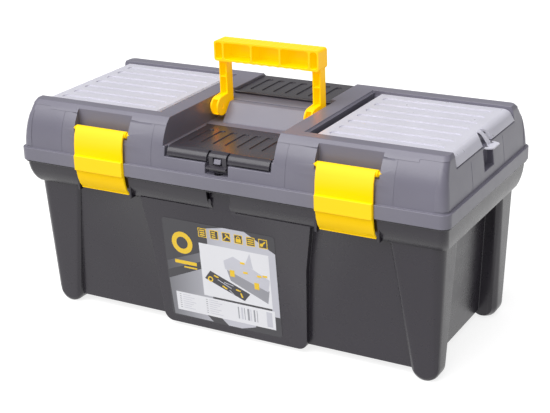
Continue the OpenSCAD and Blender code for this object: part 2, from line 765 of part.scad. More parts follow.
module organizer_lid() {
    z0 = lid_plate[0];
    z1 = lid_plate[1];
    y0 = organizer_y[0];
    y1 = organizer_y[1];
    flap_x = hw - 7;
    flap_z = seam_z + 56;
    pitch = (y1 - y0 - 36) / 6;
    roll_r = 11;
    sheet_t = z1 - z0;
    roll_x = bend_x - 4;
    bend = [roll_x, z1 - roll_r];
    tongue_half_w = 3.6;
    color(clear_plastic) difference() {
        union() {
            block([organizer_x, y0, z0], [roll_x, y1, z1]);
            rod_y(organizer_x, organizer_hinge_z, rod_r, y0, y1);
            rod_y(organizer_x, organizer_hinge_z, rod_r, y0 - 2, y1 + 2);
            difference() {
                prism_y(concat([[roll_x - 2, z0], [roll_x - 2, z1]], arc(bend, roll_r, 90, 28, 8),
                    [[flap_x, flap_z], [flap_x - 1.6, flap_z - 1.2]],
                    arc(bend, roll_r - sheet_t, 28, 90, 8)), y0, y1);
                translate([arch_x, 0, flap_z - 5]) cylinder(r = arch_r, h = 30);
            }
            // Rim that stands down round the arch
            intersection() {
                translate([arch_x, 0, flap_z - 5]) difference() {
                    cylinder(r = arch_r + 1.4, h = 30);
                    translate([0, 0, -1]) cylinder(r = arch_r, h = 40);
                }
                prism_y([[bend_x + 2.4, flap_z + 0.6], [bend_x + 2.4, z1 - 2.6], [flap_x - 1, flap_z],
                         [flap_x - 2, flap_z - 0.6]], -arch_r - 2, arch_r + 2);
            }
        }
        for (i = [0 : grooves - 1])
            translate([0, y0 + 18 + i * pitch * 6 / (grooves - 1), 0]) rotate([0, 0, -90])
                groove(0, organizer_x + 10, roll_x - 8, 11, z1 - 1.2);
    }
    // Tongue and its finger lip
    color(clear_plastic) {
        prism_y([[roll_x, z0], [roll_x, z1], [bend_x + 1, z1 - 1], [bend_x + 5, z1 - 4.4],
                 [hw - 5.4, flap_z + 1], [hw - 4.6, seam_z + 53.4], [hw - 6.4, seam_z + 53.4],
                 [hw - 7.2, flap_z], [bend_x + 4.4, z0 - 3], [bend_x + 1, z0]],
            -tongue_half_w, tongue_half_w);
        translate([hw - 6, 0, seam_z + 52.4]) linear_extrude(1.8) difference() {
            intersection() {
                circle(13);
                translate([0, -20]) square([9.6, 40]);
            }
            for (y = [-7.4, 7.4])
                translate([-0.6, y]) circle(3.4);
        }
    }
}

/* ---- Hinge pins ---- */

module hinge_pin() {
    reach = knuckle_half + lug_gap + lug_t;
    color(steel) rod_x(hinge_y, hinge_z, pin_r, hinge_x - reach, hinge_x + reach);
}

/* ---- Tray and dividers ---- */

// An upright rounded plate round the middle of the carrying loop
module loop_plate(half, r, reach) {
    translate([0, reach, tray_z + tray_h - 3]) rotate([90, 0, 0])
        linear_extrude(2 * reach) rounded(half, r);
}

module divider_rib(x, y) {
    block([x - rib_t / 2, y, tray_z + tray_t - eps],
          [x + rib_t / 2, y + rib_reach + eps, tray_z + tray_h - 14]);
}

module tray() {
    half = [tray_w / 2, tray_d / 2];
    z0 = tray_z;
    z1 = tray_z + tray_h;
    t = tray_t;
    color(tray_black) difference() {
        union() {
            translate([0, 0, z0]) linear_extrude(tray_h) rounded(half, 8);
            translate([0, 0, tray_flange_z]) linear_extrude(2.4) rounded(tray_flange, 10);
            translate([0, 0, z1 - 2.4]) linear_extrude(2.4) rounded(half + [2.4, 2.4], 9);
        }
        translate([0, 0, z0 + t]) linear_extrude(tray_h)
            difference() {
                rounded(half - [t, t], 6);
                translate([-half.x, -t / 2]) square([tray_w, t]);
            }
        block([-half.x + t + 5, -t, z1 - 12], [-60, t, z1 + 5]);
        block([60, -t, z1 - 12], [half.x - t - 5, t, z1 + 5]);
        loop_plate([48, 8.5], 6, 6);
    }
    // Carrying loop on the middle wall
    color(tray_black) difference() {
        loop_plate([60, 13], 8, 5);
        loop_plate([48, 8.5], 6, 6);
        block([-70, -6, z1 - 20], [70, -t / 2, z1 - 7]);
        block([-70, t / 2, z1 - 20], [70, 6, z1 - 7]);
    }
    // Ribs that hold the dividers
    color(tray_black)
        for (s = [-1, 1]) {
            for (x = [-tray_divider_x, tray_divider_x], y = [-half.y + t - eps, -t / 2 - rib_reach])
                divider_rib(x + s * rib_side, y);
            for (y = [t / 2 - eps, half.y - t - rib_reach])
                divider_rib(s * rib_side, y);
        }
}

// A removable divider across the tray, in front of or behind its middle wall
module tray_divider(x, y0, y1) {
    color(lid_grey)
        block([x - divider_t / 2, y0 + 0.3, tray_z + tray_t],
              [x + divider_t / 2, y1 - 0.3, tray_z + tray_h - 12]);
}

module organizer_divider(y) {
    color(tray_black)
        block([organizer_in + 0.3, y - divider_t / 2, well_floor],
              [organizer_out - 0.3, y + divider_t / 2, well_floor + 38]);
}

base();
lid();
label();
handle();
mirror([1, 0, 0]) handle_pin();  // handle_pin_left
handle_pin();  // handle_pin_right
mirror([1, 0, 0]) latch();  // latch_left
latch();  // latch_right
mirror([1, 0, 0]) organizer_lid();  // organizer_lid_left
organizer_lid();  // organizer_lid_right
front_compartment_lid();
rear_compartment_lid();
mirror([1, 0, 0]) hinge_pin();  // hinge_pin_left
hinge_pin();  // hinge_pin_right
tray();
tray_divider(-tray_divider_x, -tray_d / 2 + tray_t, -tray_t / 2);  // tray_divider_left
tray_divider(tray_divider_x, -tray_d / 2 + tray_t, -tray_t / 2);  // tray_divider_right
tray_divider(0, tray_t / 2, tray_d / 2 - tray_t);  // tray_divider_rear
mirror([1, 0, 0]) organizer_divider(organizer_divider_y[0]);  // organizer_divider_left_front
mirror([1, 0, 0]) organizer_divider(organizer_divider_y[1]);  // organizer_divider_left_rear
organizer_divider(organizer_divider_y[0]);  // organizer_divider_right_front
organizer_divider(organizer_divider_y[1]);  // organizer_divider_right_rear
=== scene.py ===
"""Finishes a moulded toolbox with tray: softened mouldings, plastics, label and studio."""
import json
import math

import bmesh
import bpy
from bpy.props import FloatProperty, FloatVectorProperty, PointerProperty
from bpy.types import Operator, Panel, PropertyGroup
from mathutils import Matrix, Vector
from mathutils.kdtree import KDTree


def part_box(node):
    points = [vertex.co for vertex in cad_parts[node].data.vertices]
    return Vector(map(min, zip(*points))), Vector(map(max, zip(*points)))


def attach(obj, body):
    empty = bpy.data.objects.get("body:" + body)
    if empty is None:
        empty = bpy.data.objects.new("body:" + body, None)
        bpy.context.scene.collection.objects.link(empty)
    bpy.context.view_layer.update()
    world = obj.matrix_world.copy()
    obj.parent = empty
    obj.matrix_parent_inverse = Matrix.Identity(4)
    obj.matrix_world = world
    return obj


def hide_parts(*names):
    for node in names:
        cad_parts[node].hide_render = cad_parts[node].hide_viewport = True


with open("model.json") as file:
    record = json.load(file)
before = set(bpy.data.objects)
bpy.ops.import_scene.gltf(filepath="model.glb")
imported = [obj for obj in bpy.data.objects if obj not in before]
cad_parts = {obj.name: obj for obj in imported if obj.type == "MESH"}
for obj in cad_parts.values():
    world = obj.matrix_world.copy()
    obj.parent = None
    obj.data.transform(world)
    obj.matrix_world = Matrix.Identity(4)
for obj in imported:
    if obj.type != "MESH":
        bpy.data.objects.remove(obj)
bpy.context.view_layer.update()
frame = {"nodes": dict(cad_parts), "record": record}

bl_info = {
    "name": "Toolbox with tray",
    "version": (1, 0, 0),
    "blender": (4, 5, 0),
    "location": "3D View > Sidebar > Toolbox",
    "description": "Builds the mouldings, plastics, label and studio of a toolbox with tray",
    "category": "Object",
}

MM = 0.001

# Mesh clean-up before the edges are rounded: gap to close, sliver to drop, bend that counts as flat
CLOSE_GAP = 0.03 * MM
SLIVER = 0.02 * MM
FLAT = math.radians(0.6)

# Rounding: least bend of a sharp edge, bends that carry one width along a run of edges, least width
SHARP = math.radians(28)
RUN_BENDS = (1.5, 35)
LEAST_WIDTH = 0.12

# Camera: azimuth, elevation and roll in degrees, and its place in metres
CAMERA_ANGLES = (30.05, 21.27, -2.06)
CAMERA_PLACE = (0.7407, -1.2757, 0.7063)
CAMERA_SENSOR = 36.0

# Which way the key lamp's light travels
KEY_WAY = (0.22, 0.66, -1.0)

FLOOR_SIZE = 12.0
FLOOR_DROP = 0.2 * MM


# ---- Settings -------------------------------------------------------------------------

def colour(name, description, default):
    return FloatVectorProperty(name=name, description=description, subtype="COLOR", size=3,
                               min=0.0, max=1.0, default=default)


def length(name, description, default_mm):
    return FloatProperty(name=name, description=description, unit="LENGTH", min=0.0,
                         precision=5, default=default_mm * MM)


class ToolboxSizes(PropertyGroup):
    edge_round: length("Edge round", "Radius on the outer edges of the big mouldings", 0.8)
    small_round: length("Small round", "Radius on the edges of the latches and the handle", 0.5)
    lid_round: length("Lid round", "Radius on the edges of the compartment lids", 0.3)
    tray_round: length("Tray round", "Radius on the edges of the tray and dividers", 0.35)
    label_corner: length("Label corner", "Radius of the label's corners", 4.0)
    print_step: length("Print step", "Height of one layer of the label's print", 0.03)


class ToolboxColours(PropertyGroup):
    base: colour("Base", "Charcoal of the tub", (0.020, 0.016, 0.025))
    lid: colour("Lid", "Grey of the lid", (0.172, 0.164, 0.210))
    latch: colour("Latch", "Yellow of the latches", (1.0, 0.63, 0.0))
    handle: colour("Handle", "Warm yellow of the handle", (1.0, 0.54, 0.0))
    smoke: colour("Smoke lids", "Dark lids of the two small compartments", (0.036, 0.032, 0.043))
    clear: colour("Clear lids", "Milky plastic of the organiser lids", (0.73, 0.72, 0.815))
    tray: colour("Tray", "Black of the tray", (0.022, 0.022, 0.024))
    steel: colour("Steel", "Hinge wire", (0.60, 0.60, 0.62))
    ink_dark: colour("Dark ink", "Charcoal print of the label", (0.050, 0.048, 0.056))
    ink_silver: colour("Silver ink", "Silver print of the label", (0.56, 0.56, 0.62))
    ink_white: colour("White ink", "White panels of the label", (0.86, 0.86, 0.90))
    ink_yellow: colour("Yellow ink", "Yellow print of the label", (0.95, 0.62, 0.02))
    floor: colour("Floor", "Studio floor", (0.36, 0.36, 0.36))


class ToolboxStage(PropertyGroup):
    lens: FloatProperty(name="Lens", description="Focal length of the camera", unit="CAMERA",
                        default=84.9)
    key: FloatProperty(name="Key lamp", description="Strength of the soft lamp above the front",
                       default=3.25)
    key_spread: FloatProperty(name="Key spread", description="Angle that the key lamp's disc fills",
                              subtype="ANGLE", default=math.radians(65))
    floor_glow: FloatProperty(name="Floor glow", description="Light that shines up through the floor",
                              default=0.8)
    sky: FloatProperty(name="Sky", description="Strength of the light all round", default=0.38)


# ---- Materials ------------------------------------------------------------------------

def node_material(name):
    """A material made once under a name of its own, since the CAD slots' names are already taken."""
    name = "look_" + name
    mat = bpy.data.materials.get(name)
    if mat:
        return mat, None, None
    mat = bpy.data.materials.new(name)
    mat.use_nodes = True
    tree = mat.node_tree
    shader = tree.nodes["Principled BSDF"]
    return mat, tree, shader


def add_noise(tree, scale, detail=2.0, stretch=(1, 1, 1)):
    """Noise in the object's own metres."""
    coords = tree.nodes.new("ShaderNodeTexCoord")
    mapping = tree.nodes.new("ShaderNodeMapping")
    mapping.inputs["Scale"].default_value = stretch
    noise = tree.nodes.new("ShaderNodeTexNoise")
    noise.inputs["Scale"].default_value = scale
    noise.inputs["Detail"].default_value = detail
    tree.links.new(coords.outputs["Object"], mapping.inputs["Vector"])
    tree.links.new(mapping.outputs["Vector"], noise.inputs["Vector"])
    return noise.outputs["Fac"]


def ramp(tree, value, low, high, low_at=0.0, high_at=1.0):
    """A colour that runs from low to high as the value rises."""
    node = tree.nodes.new("ShaderNodeValToRGB")
    node.color_ramp.elements[0].position = low_at
    node.color_ramp.elements[1].position = high_at
    node.color_ramp.elements[0].color = (*low, 1.0)
    node.color_ramp.elements[1].color = (*high, 1.0)
    tree.links.new(value, node.inputs["Fac"])
    return node.outputs["Color"]


def map_range(tree, value, low, high):
    """The value, spread between low and high."""
    node = tree.nodes.new("ShaderNodeMapRange")
    node.inputs["To Min"].default_value = low
    node.inputs["To Max"].default_value = high
    tree.links.new(value, node.inputs["Value"])
    return node.outputs["Result"]


def add_bump(tree, shader, height, strength, distance):
    """Lets the height roughen the surface, distance in metres."""
    bump = tree.nodes.new("ShaderNodeBump")
    bump.inputs["Strength"].default_value = strength
    bump.inputs["Distance"].default_value = distance
    tree.links.new(height, bump.inputs["Height"])
    tree.links.new(bump.outputs["Normal"], shader.inputs["Normal"])


def painted_edge_highlight(tree, tone, amount):
    """The same tone painted a little lighter on sharp edges: a painted highlight along every edge."""
    spot = tree.nodes.new("ShaderNodeNewGeometry")
    edge = tree.nodes.new("ShaderNodeMapRange")
    edge.inputs["From Min"].default_value = 0.52
    edge.inputs["From Max"].default_value = 0.62
    edge.inputs["To Max"].default_value = amount
    tree.links.new(spot.outputs["Pointiness"], edge.inputs["Value"])
    mix = tree.nodes.new("ShaderNodeMix")
    mix.data_type = "RGBA"
    mix.inputs["B"].default_value = (1, 1, 1, 1)
    tree.links.new(edge.outputs["Result"], mix.inputs["Factor"])
    tree.links.new(tone, mix.inputs["A"])
    return mix.outputs["Result"]


def moulded(name, base, rough=0.30, grain=1100.0, depth=0.00006, vary=0.05, edges=0.05,
            specular=0.5, glow=0.0):
    """Injection moulded plastic: flow marks in the colour, uneven gloss, a fine grain, a painted highlight
    on its edges and a painted glow.
    """
    mat, tree, shader = node_material(name)
    if tree is None:
        return mat
    cloud = add_noise(tree, 14.0, 3.0)
    tone = ramp(tree, cloud, [c * (1 - vary) for c in base], [min(1, c * (1 + vary)) for c in base],
                0.3, 0.7)
    # Painted highlight: edges are drawn lighter by the amount in edges
    tree.links.new(painted_edge_highlight(tree, tone, edges), shader.inputs["Base Color"])
    gloss = add_noise(tree, 60.0, 4.0)
    tree.links.new(map_range(tree, gloss, rough - 0.05, rough + 0.07), shader.inputs["Roughness"])
    shader.inputs["Specular IOR Level"].default_value = specular
    # Painted glow: emission in the plastic's own colour brightens it though it is no lamp
    if glow:
        shader.inputs["Emission Color"].default_value = (*base, 1)
        shader.inputs["Emission Strength"].default_value = glow
    fine = add_noise(tree, grain, 2.0)
    add_bump(tree, shader, fine, 0.35, depth)
    return mat


def milky_clear(name, base):
    """Cloudy polypropylene sheet: lets a little light through, keeps a soft shine and has a painted
    highlight on its edges.
    """
    mat, tree, shader = node_material(name)
    if tree is None:
        return mat
    cloud = add_noise(tree, 22.0, 3.0)
    tone = ramp(tree, cloud, [c * 0.97 for c in base], [min(1, c * 1.03) for c in base], 0.3, 0.7)
    # Painted highlight: the lids' edges are drawn much lighter
    tree.links.new(painted_edge_highlight(tree, tone, 0.35), shader.inputs["Base Color"])
    gloss = add_noise(tree, 80.0, 3.0)
    tree.links.new(map_range(tree, gloss, 0.24, 0.36), shader.inputs["Roughness"])
    shader.inputs["Transmission Weight"].default_value = 0.22
    shader.inputs["IOR"].default_value = 1.45
    fine = add_noise(tree, 600.0, 2.0)
    add_bump(tree, shader, fine, 0.15, 0.00005)
    return mat


def silver_ink(name, dark, light, low, high):
    """Silver print that runs from dark to light along the label, low and high in metres along X."""
    mat, tree, shader = node_material(name)
    if tree is None:
        return mat
    coords = tree.nodes.new("ShaderNodeTexCoord")
    split = tree.nodes.new("ShaderNodeSeparateXYZ")
    tree.links.new(coords.outputs["Object"], split.inputs["Vector"])
    along = tree.nodes.new("ShaderNodeMapRange")
    along.inputs["From Min"].default_value = low
    along.inputs["From Max"].default_value = high
    tree.links.new(split.outputs["X"], along.inputs["Value"])
    tree.links.new(ramp(tree, along.outputs["Result"], dark, light), shader.inputs["Base Color"])
    flake = add_noise(tree, 2600.0, 1.0)
    tree.links.new(map_range(tree, flake, 0.24, 0.42), shader.inputs["Roughness"])
    shader.inputs["Metallic"].default_value = 0.15
    return mat


def bright_wire(name, base):
    """Drawn steel wire, with fine marks along it."""
    mat, tree, shader = node_material(name)
    if tree is None:
        return mat
    shader.inputs["Base Color"].default_value = (*base, 1)
    shader.inputs["Metallic"].default_value = 1.0
    drawn = add_noise(tree, 300.0, 2.0, stretch=(0.05, 1, 1))
    tree.links.new(map_range(tree, drawn, 0.22, 0.42), shader.inputs["Roughness"])
    return mat


# ---- Meshes ---------------------------------------------------------------------------

def new_piece(name, bm, mat, body, slot, *nodes, round_by=0.0):
    """A finished piece from a bmesh, riding on a body and standing for CAD nodes."""
    mesh = bpy.data.meshes.new(name)
    bm.to_mesh(mesh)
    bm.free()
    piece = bpy.data.objects.new(name, mesh)
    bpy.context.scene.collection.objects.link(piece)
    mesh.materials.append(mat)
    for face in mesh.polygons:
        face.use_smooth = True
    if round_by:
        soft = piece.modifiers.new("soft_edges", "BEVEL")
        soft.width = round_by
        soft.segments = 2
        soft.limit_method = "WEIGHT"
        soft.use_clamp_overlap = False
    even = piece.modifiers.new("even_normals", "WEIGHTED_NORMAL")
    even.weight = 80
    even.keep_sharp = True
    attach(piece, body)
    if nodes:
        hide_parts(*nodes)
    return piece


def level_runs(sharp, ways, room):
    """Gives every gently curving run of edges the width of its narrowest edge, so none of it kinks."""
    owner = {edge: edge for edge in sharp}

    def head(edge):
        while owner[edge] is not edge:
            owner[edge] = owner[owner[edge]]
            edge = owner[edge]
        return edge

    for edge in sharp:
        for end in edge.verts:
            for other in end.link_edges:
                if other is edge or other not in sharp:
                    continue
                turn = math.degrees(math.asin(min(1.0, ways[edge].cross(ways[other]).length)))
                away = (edge.other_vert(end).co - end.co).dot(other.other_vert(end).co - end.co) < 0
                if away and RUN_BENDS[0] < turn < RUN_BENDS[1]:
                    owner[head(edge)] = head(other)
    narrowest = {}
    for edge in sharp:
        top = head(edge)
        narrowest[top] = min(narrowest.get(top, 1.0), room[edge])
    return {edge: narrowest[head(edge)] for edge in sharp}


def corner_room(edge, sharp, ways, reach):
    """How far the rounding of an edge may run along the edges that meet its ends."""
    room = reach
    for end in edge.verts:
        for other in end.link_edges:
            turn = ways[edge].cross(ways[other]).length
            if other is edge or turn < 0.3:
                continue
            crowded = any(e in sharp for e in other.other_vert(end).link_edges if e is not other)
            room = min(room, other.calc_length() * turn * (0.45 if crowded else 0.8))
    return room


def edge_room(edges, sharp, reach):
    """How wide each sharp edge may be rounded before it meets the next edge, in metres."""
    spacing = reach / 3
    spots = []
    for edge in edges:
        a, b = (v.co for v in edge.verts)
        count = max(1, math.ceil((b - a).length / spacing))
        spots += [(a.lerp(b, (i + 0.5) / count), edge) for i in range(count)]
    tree = KDTree(len(spots))
    for index, (spot, edge) in enumerate(spots):
        tree.insert(spot, index)
    tree.balance()
    ways = {e: (e.verts[1].co - e.verts[0].co).normalized() for e in edges}
    room = {edge: corner_room(edge, sharp, ways, reach) for edge in sharp}
    for spot, edge in spots:
        if edge not in sharp:
            continue
        ends = set(edge.verts)
        normals = [f.normal for f in edge.link_faces]
        for near, index, gap in tree.find_range(spot, 2.4 * reach):
            other = spots[index][1]
            if gap < 1e-7 or ends & set(other.verts):
                continue
            line = (near - spot) / gap
            if abs(line.dot(ways[edge])) > 0.5 or min(abs(line.dot(n)) for n in normals) > 0.25:
                continue
            if other in sharp:
                room[edge] = min(room[edge], gap / 2.4)
            elif abs(ways[edge].dot(ways[other])) > 0.8:
                room[edge] = min(room[edge], gap * 0.8)
    return level_runs(sharp, ways, room)


def softened(node, round_by):
    """The node's own solid with its flat faces made whole and a weight on each edge to round."""
    bm = bmesh.new()
    bm.from_mesh(frame["nodes"][node].data)
    bmesh.ops.remove_doubles(bm, verts=bm.verts[:], dist=CLOSE_GAP)
    bmesh.ops.dissolve_degenerate(bm, dist=SLIVER, edges=bm.edges[:])
    bmesh.ops.dissolve_limit(bm, angle_limit=FLAT, verts=bm.verts[:], edges=bm.edges[:])
    bm.normal_update()
    weight = bm.edges.layers.float.new("bevel_weight_edge")
    sharp = {e for e in bm.edges if len(e.link_faces) == 2 and e.calc_face_angle(0.0) > SHARP}
    for edge, width in edge_room(bm.edges[:], sharp, round_by).items():
        edge[weight] = width / round_by if width > LEAST_WIDTH * round_by else 0.0
        edge.smooth = edge[weight] > 0.0
    return bm


def body_of(node):
    """The body that a CAD node belongs to."""
    bodies = frame["record"]["behaviour"]["bodies"]
    return next(body for body, nodes in bodies.items() if node in nodes)


def slot_of(node):
    """The material slot that a CAD node has."""
    return next(part["material_slot"] for part in frame["record"]["subparts"] if part["node"] == node)


def soften_node(node, mat, round_by):
    """The piece that stands for a CAD node, with its edges rounded."""
    return new_piece(node + "_moulding", softened(node, round_by), mat, body_of(node), slot_of(node),
                     node, round_by=round_by)


# ---- Label ----------------------------------------------------------------------------

class LabelPrint:
    """Shapes printed in layers on the label: across and down are parts of its width and height."""

    def __init__(self, step):
        self.step = step
        self.bm = bmesh.new()
        self.inks = []
        spots = [v.co for v in frame["nodes"]["label"].data.vertices]
        width = max(p.x for p in spots) - min(p.x for p in spots)
        left = min(p.x for p in spots)
        lowest = min(spots, key=lambda p: (round(p.z, 5), p.y))
        highest = max(spots, key=lambda p: (round(p.z, 5), -p.y))
        front_top = min((p for p in spots if p.z > highest.z - 0.001), key=lambda p: p.y)
        front_low = min((p for p in spots if p.z < lowest.z + 0.001), key=lambda p: p.y)
        self.corner = Vector((left, front_top.y, front_top.z))
        self.across = Vector((width, 0, 0))
        self.down = Vector((0, front_low.y - front_top.y, front_low.z - front_top.z))
        self.out = self.down.cross(self.across).normalized()
        if self.out.y > 0:
            self.out.negate()

    def place(self, u, v, height):
        """The point at a part of the width and of the height, and a height above the sheet."""
        return self.corner + u * self.across + v * self.down + height * self.out

    def shape(self, points, ink, layer):
        """A flat shape one print layer high, from its outline."""
        top = [self.bm.verts.new(self.place(u, v, layer * self.step)) for u, v in points]
        low = [self.bm.verts.new(self.place(u, v, (layer - 1.5) * self.step)) for u, v in points]
        faces = [self.bm.faces.new(top), self.bm.faces.new(low[::-1])]
        count = len(points)
        for i in range(count):
            k = (i + 1) % count
            faces.append(self.bm.faces.new((top[k], top[i], low[i], low[k])))
        self.inks += [ink] * len(faces)

    def box(self, u0, v0, u1, v1, ink, layer):
        """An upright rectangle."""
        self.shape([(u0, v0), (u0, v1), (u1, v1), (u1, v0)], ink, layer)

    def disc(self, u, v, r, ink, layer, sides=28):
        """A round spot, r as a part of the width."""
        tall = self.across.length / self.down.length
        turn = [math.tau * i / sides for i in range(sides)]
        self.shape([(u + r * math.cos(a), v - r * tall * math.sin(a)) for a in turn], ink, layer)

    def bar(self, u0, v0, u1, v1, width, ink, layer):
        """A straight stroke from one spot to another."""
        along = Vector((u1 - u0, v1 - v0)).normalized()
        side = Vector((-along.y, along.x)) * width / 2
        self.shape([(u0 + side.x, v0 + side.y), (u1 + side.x, v1 + side.y),
                    (u1 - side.x, v1 - side.y), (u0 - side.x, v0 - side.y)], ink, layer)

    def rounded_sheet(self, radius):
        """The sheet itself, down to the panel behind it."""
        rx, ry = radius / self.across.length, radius / self.down.length
        points = []
        for cx, cy, first in ((1 - rx, ry, 0), (rx, ry, 90), (rx, 1 - ry, 180), (1 - rx, 1 - ry, 270)):
            for k in range(7):
                a = math.radians(first + 15 * k)
                points.append((cx + rx * math.cos(a), cy - ry * math.sin(a)))
        self.shape(points, "dark", -1)


def draw_bands(sheet):
    """Slanting silver bands over the charcoal ground."""
    sheet.shape([(0.005, 0.44), (0.005, 0.53), (0.36, 0.37), (0.36, 0.28)], "band", 0)
    sheet.shape([(0.005, 0.62), (0.02, 0.99), (0.38, 0.99), (0.30, 0.90), (0.40, 0.80), (0.40, 0.42)],
                "silver", 0)
    sheet.shape([(0.40, 0.04), (0.40, 0.30), (0.93, 0.30), (0.93, 0.80), (0.995, 0.80),
                 (0.995, 0.17), (0.74, 0.005), (0.55, 0.005)], "silver", 0)
    sheet.shape([(0.43, 0.90), (0.52, 0.995), (0.64, 0.995), (0.77, 0.95), (0.77, 0.90)], "silver", 0)


def draw_mark(sheet):
    """A plain yellow ring with two bars below it."""
    sheet.disc(0.165, 0.23, 0.095, "yellow", 1)
    sheet.disc(0.165, 0.23, 0.052, "dark", 2)
    sheet.box(0.08, 0.41, 0.28, 0.445, "yellow", 1)
    sheet.box(0.16, 0.465, 0.28, 0.48, "yellow", 1)


def draw_icons(sheet):
    """Six framed squares, each with a simple tool or box in it."""
    size, pitch, top = 0.075, 0.107, 0.045
    tall = size * 1.18
    for k in range(6):
        u = 0.325 + k * pitch
        sheet.box(u, top, u + size, top + tall, "yellow", 1)
        sheet.box(u + 0.006, top + 0.007, u + size - 0.006, top + tall - 0.007, "dark", 2)
        mid_u, mid_v = u + size / 2, top + tall / 2
        if k in (0, 1):
            for row in (-1, 0, 1):
                sheet.box(mid_u - 0.022, mid_v + row * 0.022 - 0.006, mid_u + 0.022 - 0.012 * k,
                          mid_v + row * 0.022 + 0.006, "yellow", 3)
        elif k == 2:
            sheet.bar(mid_u - 0.024, mid_v + 0.028, mid_u + 0.016, mid_v - 0.018, 0.010, "yellow", 3)
            sheet.bar(mid_u - 0.006, mid_v - 0.026, mid_u + 0.028, mid_v + 0.010, 0.014, "yellow", 4)
        elif k == 3:
            sheet.disc(mid_u, mid_v - 0.010, 0.017, "yellow", 3, 16)
            sheet.disc(mid_u, mid_v - 0.010, 0.009, "dark", 4, 16)
            sheet.box(mid_u - 0.022, mid_v - 0.006, mid_u + 0.022, mid_v + 0.030, "yellow", 5)
        elif k == 4:
            for row in (-1, 0, 1):
                sheet.box(mid_u - 0.026, mid_v + row * 0.020 - 0.005,
                          mid_u + 0.026, mid_v + row * 0.020 + 0.006, "yellow", 3)
        else:
            sheet.bar(mid_u - 0.022, mid_v + 0.026, mid_u + 0.020, mid_v - 0.024, 0.012, "yellow", 3)
            sheet.disc(mid_u - 0.012, mid_v + 0.012, 0.014, "yellow", 4, 12)


def draw_picture(sheet):
    """White panel with a drawing of an open grey box and a dark tray of tools."""
    sheet.box(0.32, 0.195, 0.935, 0.725, "white", 1)
    sheet.shape([(0.55, 0.40), (0.58, 0.52), (0.90, 0.68), (0.92, 0.55)], "grey", 2)
    sheet.shape([(0.53, 0.33), (0.54, 0.41), (0.91, 0.56), (0.93, 0.44), (0.62, 0.27)], "lilac", 3)
    sheet.shape([(0.72, 0.33), (0.79, 0.36), (0.77, 0.21)], "lilac", 4)
    sheet.shape([(0.345, 0.545), (0.69, 0.70), (0.745, 0.62), (0.40, 0.46)], "dark", 5)
    sheet.disc(0.395, 0.545, 0.024, "yellow", 6, 20)
    sheet.disc(0.395, 0.545, 0.013, "dark", 7, 20)
    for u, v in ((0.58, 0.41), (0.79, 0.49)):
        sheet.box(u, v, u + 0.042, v + 0.065, "yellow", 6)
    for u, v in ((0.68, 0.31), (0.70, 0.40), (0.82, 0.41), (0.87, 0.40)):
        sheet.box(u, v, u + 0.04, v + 0.02, "yellow", 6)
    for u0, v0, u1, v1 in ((0.43, 0.50, 0.47, 0.515), (0.50, 0.59, 0.54, 0.615),
                           (0.62, 0.60, 0.66, 0.61), (0.66, 0.63, 0.675, 0.67)):
        sheet.bar(u0, v0, u1, v1, 0.014, "yellow", 6)
    for u0, v0, u1, v1 in ((0.46, 0.535, 0.58, 0.60), (0.52, 0.55, 0.60, 0.57),
                           (0.56, 0.62, 0.60, 0.66)):
        sheet.bar(u0, v0, u1, v1, 0.007, "lilac", 6)


def draw_table(sheet):
    """White strip with two columns of fine lines and a field of upright bars."""
    sheet.box(0.055, 0.745, 0.95, 0.935, "white", 1)
    for column, left in enumerate((0.085, 0.33)):
        for row in range(7):
            v = 0.765 + row * 0.0225
            sheet.box(left, v, left + 0.015, v + 0.007, "grey", 2)
            line_end = left + 0.10 + 0.012 * ((row * 3 + column) % 5)
            sheet.box(left + 0.03, v, line_end, v + 0.006, "lilac", 2)
    for k, width in enumerate((0.010, 0.016, 0.006, 0.018, 0.008, 0.014, 0.006)):
        u = 0.62 + k * 0.028
        sheet.box(u, 0.775, u + width, 0.895, "lilac" if k % 3 == 1 else "grey", 2)
    sheet.box(0.875, 0.765, 0.925, 0.915, "lilac", 2)


# ---- Operators ------------------------------------------------------------------------

class PieceOperator:
    """What every piece's operator does: builds its pieces from the scene's settings."""
    bl_options = {"REGISTER", "UNDO"}

    def execute(self, context):
        scene = context.scene
        self.build(scene.toolbox_sizes, scene.toolbox_colours)
        return {"FINISHED"}


class TOOLBOX_OT_mould_base(PieceOperator, Operator):
    """Mould the charcoal tub"""
    bl_idname = "toolbox.mould_base"
    bl_label = "Base"

    def build(self, sizes, colours):
        mat = moulded("base_plastic", colours.base, rough=0.27, grain=900.0, depth=0.00009, edges=0.02)
        soften_node("base", mat, sizes.edge_round)


class TOOLBOX_OT_mould_lid(PieceOperator, Operator):
    """Mould the grey lid"""
    bl_idname = "toolbox.mould_lid"
    bl_label = "Lid"

    def build(self, sizes, colours):
        mat = moulded("lid_plastic", colours.lid, rough=0.32, edges=0.06)
        soften_node("lid", mat, sizes.edge_round)


class TOOLBOX_OT_mould_handle(PieceOperator, Operator):
    """Mould the handle and its pins"""
    bl_idname = "toolbox.mould_handle"
    bl_label = "Handle"

    def build(self, sizes, colours):
        # The handle gets a painted glow: its emission brightens it though it is no lamp
        mat = moulded("handle_plastic", colours.handle, rough=0.34, vary=0.02, specular=0.12, glow=0.42)
        soften_node("handle", mat, sizes.small_round)
        for side in ("left", "right"):
            soften_node("handle_pin_" + side, mat, sizes.small_round)


class TOOLBOX_OT_mould_latches(PieceOperator, Operator):
    """Mould the two yellow latches"""
    bl_idname = "toolbox.mould_latches"
    bl_label = "Latches"

    def build(self, sizes, colours):
        # The latches get a painted glow: their emission brightens them though they are no lamp
        mat = moulded("latch_plastic", colours.latch, rough=0.38, vary=0.02, specular=0.05, glow=0.26)
        for side in ("left", "right"):
            soften_node("latch_" + side, mat, sizes.small_round)


class TOOLBOX_OT_press_clear_lids(PieceOperator, Operator):
    """Press the two clear organiser lids"""
    bl_idname = "toolbox.press_clear_lids"
    bl_label = "Clear lids"

    def build(self, sizes, colours):
        mat = milky_clear("clear_plastic", colours.clear)
        for side in ("left", "right"):
            soften_node("organizer_lid_" + side, mat, sizes.lid_round)


